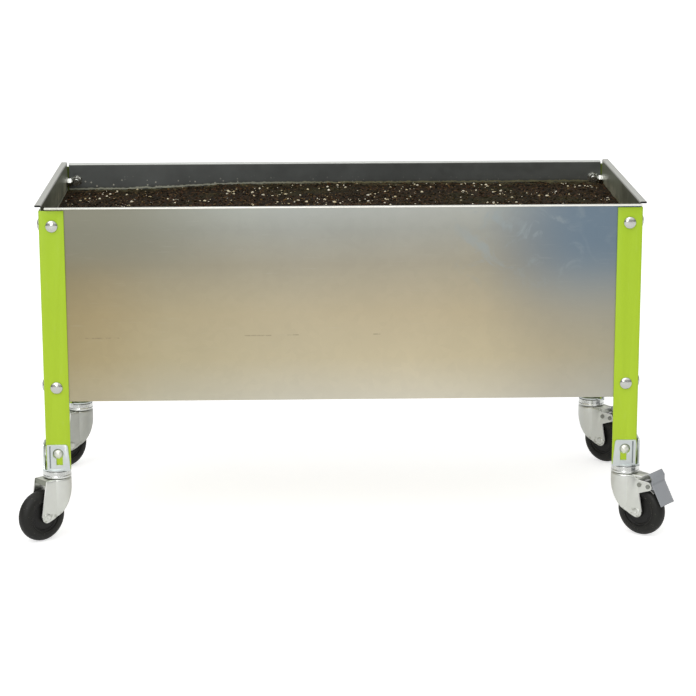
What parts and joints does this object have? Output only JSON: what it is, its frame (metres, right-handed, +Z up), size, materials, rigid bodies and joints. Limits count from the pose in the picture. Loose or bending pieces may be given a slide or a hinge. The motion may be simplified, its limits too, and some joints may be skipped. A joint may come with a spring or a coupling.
{
  "type": "rolling planter",
  "caption": "Galvanised trough planter with potting mix, on green angle legs with swivel casters, braked at one end.",
  "frame": {"origin": "on the floor, midway between the four swivel axes", "axes": "+X along the trough towards the braked end, -Y out of the front, +Z up"},
  "size_m": [1.0147, 0.4966, 0.524],
  "materials": {
    "galvanised_sheet": "dull galvanised sheet",
    "potting_mix": "loose bark-based potting mix with pale perlite specks",
    "green_coating": "lime green powder coating, satin",
    "zinc_fastener": "bright zinc plating",
    "zinc_pressing": "zinc plated steel, satin",
    "ball_steel": "polished steel",
    "hub_plastic": "black moulded plastic",
    "black_rubber": "black rubber, slightly worn",
    "pedal_coating": "grey coating, satin",
    "spring_steel": "plain spring steel"
  },
  "bodies": {
    "trough": {"front_panel": "galvanised_sheet", "back_panel": "galvanised_sheet", "left_end_panel": "galvanised_sheet", "right_end_panel": "galvanised_sheet", "floor_panel": "galvanised_sheet", "soil": "potting_mix", "leg_front_left": "green_coating", "leg_front_right": "green_coating", "leg_back_left": "green_coating", "leg_back_right": "green_coating", "carriage_bolts": "zinc_fastener", "washers": "zinc_fastener", "hex_nuts": "zinc_fastener", "bracket_bolts": "zinc_fastener", "bracket_nuts": "zinc_fastener", "caster_bracket_front_left": "zinc_pressing", "caster_bracket_front_right": "zinc_pressing", "caster_bracket_back_left": "zinc_pressing", "caster_bracket_back_right": "zinc_pressing", "race_cup_front_left": "zinc_pressing", "race_cup_front_right": "zinc_pressing", "race_cup_back_left": "zinc_pressing", "race_cup_back_right": "zinc_pressing", "kingpin_front_left": "zinc_pressing", "kingpin_front_right": "zinc_pressing", "kingpin_back_left": "zinc_pressing", "kingpin_back_right": "zinc_pressing", "swivel_balls_front_left": "ball_steel", "swivel_balls_front_right": "ball_steel", "swivel_balls_back_left": "ball_steel", "swivel_balls_back_right": "ball_steel"},
    "swivel_front_left": {"fork_front_left": "zinc_pressing", "axle_front_left": "zinc_pressing"},
    "wheel_front_left": {"wheel_hub_front_left": "hub_plastic", "wheel_tyre_front_left": "black_rubber"},
    "swivel_front_right": {"fork_front_right": "zinc_pressing", "axle_front_right": "zinc_pressing", "brake_pins_front_right": "zinc_pressing", "brake_leaf_front_right": "spring_steel"},
    "wheel_front_right": {"wheel_hub_front_right": "hub_plastic", "wheel_tyre_front_right": "black_rubber"},
    "pedal_front_right": {"brake_pedal_front_right": "pedal_coating"},
    "swivel_back_left": {"fork_back_left": "zinc_pressing", "axle_back_left": "zinc_pressing"},
    "wheel_back_left": {"wheel_hub_back_left": "hub_plastic", "wheel_tyre_back_left": "black_rubber"},
    "swivel_back_right": {"fork_back_right": "zinc_pressing", "axle_back_right": "zinc_pressing", "brake_pins_back_right": "zinc_pressing", "brake_leaf_back_right": "spring_steel"},
    "wheel_back_right": {"wheel_hub_back_right": "hub_plastic", "wheel_tyre_back_right": "black_rubber"},
    "pedal_back_right": {"brake_pedal_back_right": "pedal_coating"}
  },
  "joints": [
    {"name": "swivel_turn_front_left", "type": "hinge", "parent": "trough", "child": "swivel_front_left", "pos_m": [-0.4423, -0.2053, 0.097], "axis": [0, 0, 1], "continuous": true},
    {"name": "wheel_spin_front_left", "type": "hinge", "parent": "swivel_front_left", "child": "wheel_front_left", "pos_m": [-0.46643, -0.22555, 0.04], "axis": [0.6428, -0.766, 0], "continuous": true},
    {"name": "swivel_turn_front_right", "type": "hinge", "parent": "trough", "child": "swivel_front_right", "pos_m": [0.4423, -0.2053, 0.097], "axis": [0, 0, 1], "continuous": true},
    {"name": "wheel_spin_front_right", "type": "hinge", "parent": "swivel_front_right", "child": "wheel_front_right", "pos_m": [0.46678, -0.22512, 0.04], "axis": [0.6293, 0.7771, 0], "continuous": true},
    {"name": "pedal_lift_front_right", "type": "hinge", "parent": "swivel_front_right", "child": "pedal_front_right", "pos_m": [0.48191, -0.23738, 0.08333], "axis": [-0.6293, -0.7771, 0], "range_deg": [0, 35]},
    {"name": "swivel_turn_back_left", "type": "hinge", "parent": "trough", "child": "swivel_back_left", "pos_m": [-0.4423, 0.2053, 0.097], "axis": [0, 0, 1], "continuous": true},
    {"name": "wheel_spin_back_left", "type": "hinge", "parent": "swivel_back_left", "child": "wheel_back_left", "pos_m": [-0.46643, 0.18505, 0.04], "axis": [0.6428, -0.766, 0], "continuous": true},
    {"name": "swivel_turn_back_right", "type": "hinge", "parent": "trough", "child": "swivel_back_right", "pos_m": [0.4423, 0.2053, 0.097], "axis": [0, 0, 1], "continuous": true},
    {"name": "wheel_spin_back_right", "type": "hinge", "parent": "swivel_back_right", "child": "wheel_back_right", "pos_m": [0.46571, 0.18422, 0.04], "axis": [0.6691, 0.7431, 0], "continuous": true},
    {"name": "pedal_lift_back_right", "type": "hinge", "parent": "swivel_back_right", "child": "pedal_back_right", "pos_m": [0.48018, 0.17119, 0.08333], "axis": [-0.6691, -0.7431, 0], "range_deg": [0, 35]}
  ]
}
